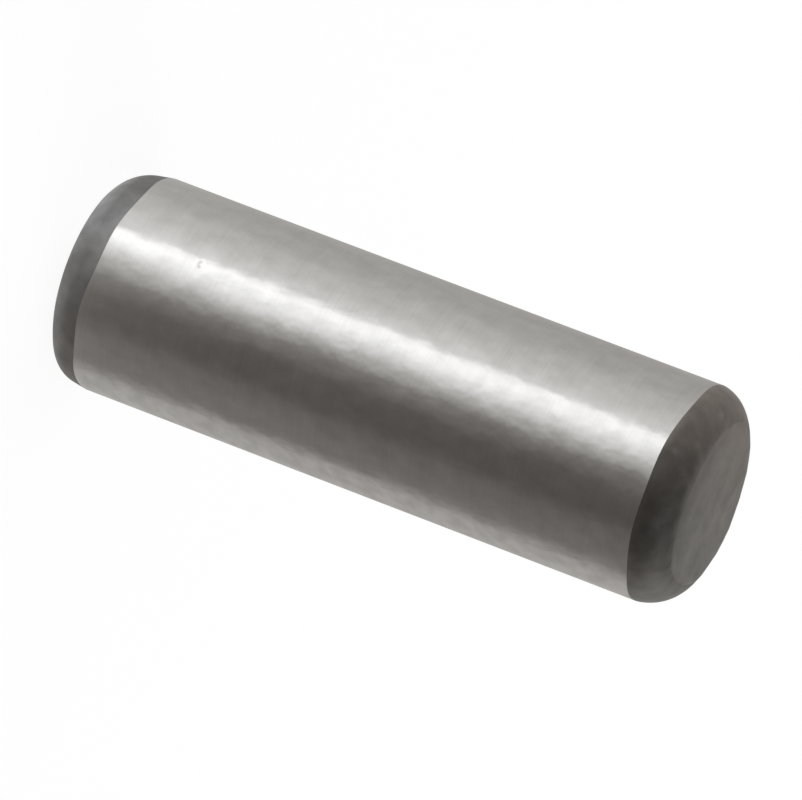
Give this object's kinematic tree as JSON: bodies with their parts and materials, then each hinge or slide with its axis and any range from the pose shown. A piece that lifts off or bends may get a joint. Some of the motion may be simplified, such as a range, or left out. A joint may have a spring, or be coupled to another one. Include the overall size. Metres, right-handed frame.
{
  "type": "dowel pin",
  "caption": "Plain cylindrical steel dowel pin with a ground shank, a rounded crown with a flat face, and a lead-in point; locates or joins parts in reamed holes.",
  "frame": {"origin": "centre of the point's flat face, on which the pin stands", "axes": "+Z along the pin's axis, from the point to the crown; the pin is round, so X and Y have no special direction"},
  "size_m": [0.0064, 0.0064, 0.0191],
  "materials": {
    "steel": "ground bright shank, grey unground ends"
  },
  "bodies": {
    "root": {"dowel_pin": "steel"}
  },
  "joints": []
}
